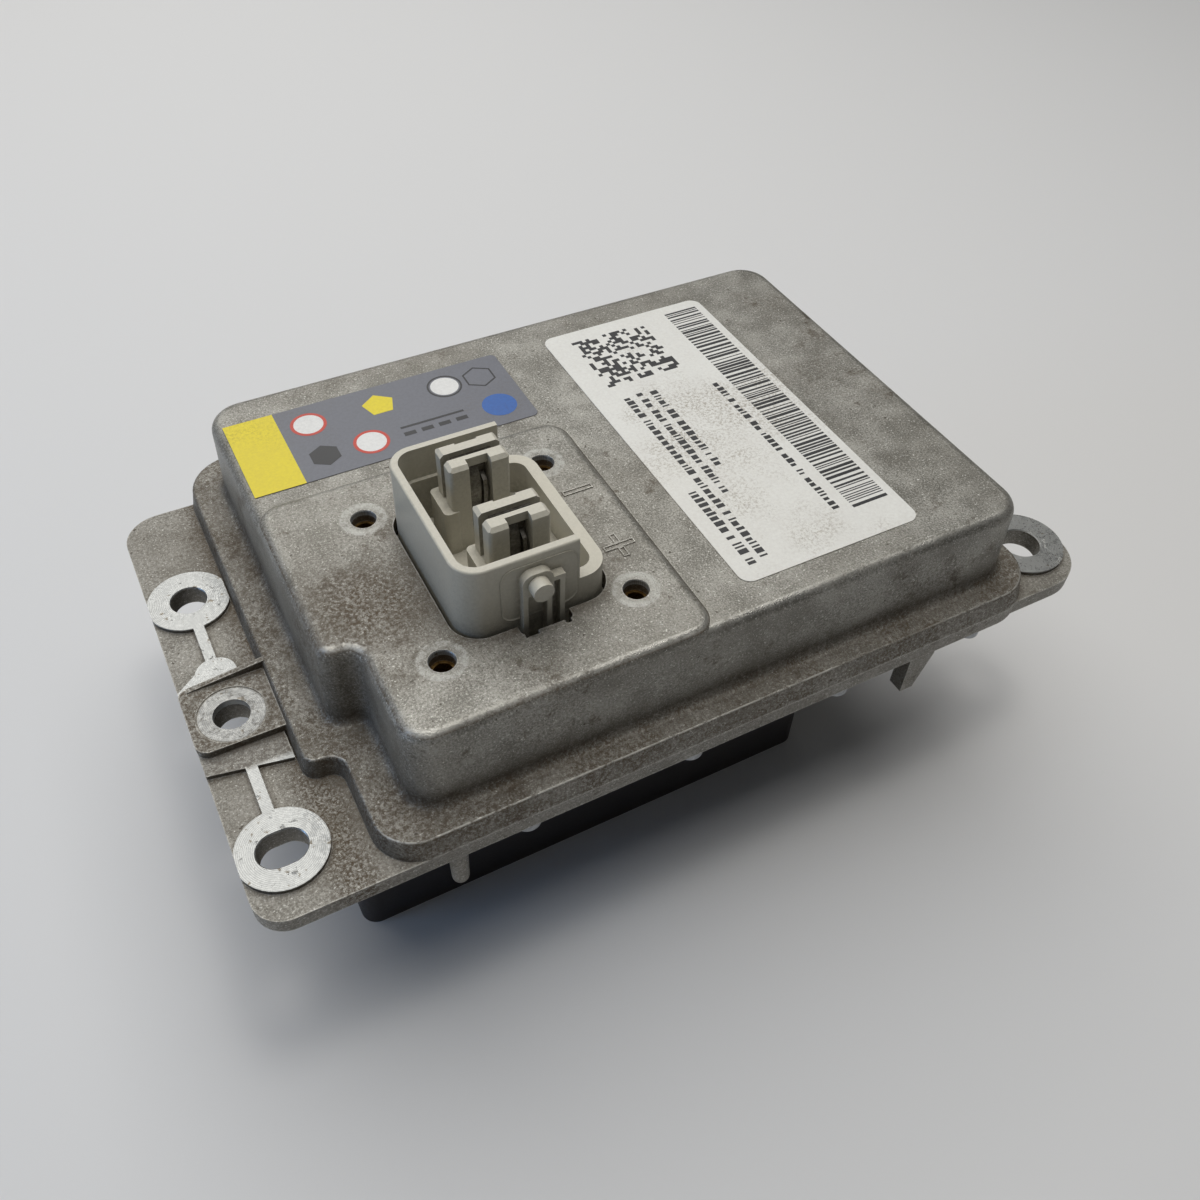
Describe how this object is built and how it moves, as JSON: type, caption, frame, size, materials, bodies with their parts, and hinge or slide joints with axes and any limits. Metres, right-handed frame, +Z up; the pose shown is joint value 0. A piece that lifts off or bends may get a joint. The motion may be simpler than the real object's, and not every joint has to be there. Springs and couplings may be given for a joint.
{
  "type": "lithium car battery",
  "caption": "Lithium car battery with a cast cover and base plate, a two-pole socket with a raised shroud, mounting ears and a moulded cell case below.",
  "frame": {"origin": "middle of the overall box at its bottom, which is the underside of the cell case", "axes": "+X to the right along the front edge, towards the single mounting ear; +Y to the back; +Z up, out of the cover"},
  "size_m": [0.2143, 0.1336, 0.1053],
  "materials": {
    "cast_aluminium": "rough sand-cast surface, dusty, worn bright at edges",
    "seal_rubber": "matte",
    "black_plastic": "fine moulded grain",
    "grey_plastic": "beige-grey moulded plastic, dusty",
    "contact_metal": "tin-plated copper alloy, dull",
    "brass": "turned",
    "cell_can": "drawn can, satin",
    "foam": "soft sheet",
    "orange_plastic": "matte",
    "copper": "rolled copper sheet",
    "green_board": "solder resist",
    "white_plastic": "matte",
    "screw_steel": "zinc plated",
    "white_film": "printed label film, dusty",
    "grey_film": "printed label film, dusty"
  },
  "bodies": {
    "root": {"base_plate": "cast_aluminium", "top_cover": "cast_aluminium", "cover_gasket": "seal_rubber", "cell_case": "black_plastic", "case_seal": "seal_rubber", "socket_housing": "grey_plastic", "socket_seal": "seal_rubber", "positive_contact": "contact_metal", "negative_contact": "contact_metal", "threaded_inserts": "brass", "cell_1": "cell_can", "cell_2": "cell_can", "cell_3": "cell_can", "cell_4": "cell_can", "cell_separators": "foam", "terminal_frame": "orange_plastic", "series_links": "copper", "positive_busbar": "copper", "negative_busbar": "copper", "positive_output_bar": "copper", "negative_output_bar": "copper", "current_shunt": "contact_metal", "control_board": "green_board", "power_transistors": "black_plastic", "heat_pad": "foam", "capacitors": "cell_can", "board_chips": "black_plastic", "sense_connector": "white_plastic", "sense_flex": "orange_plastic", "temperature_sensor": "black_plastic", "board_screws": "screw_steel", "cover_screws": "screw_steel", "case_screws": "screw_steel", "vent_plug": "black_plastic", "white_label": "white_film", "grey_label": "grey_film"}
  },
  "joints": []
}
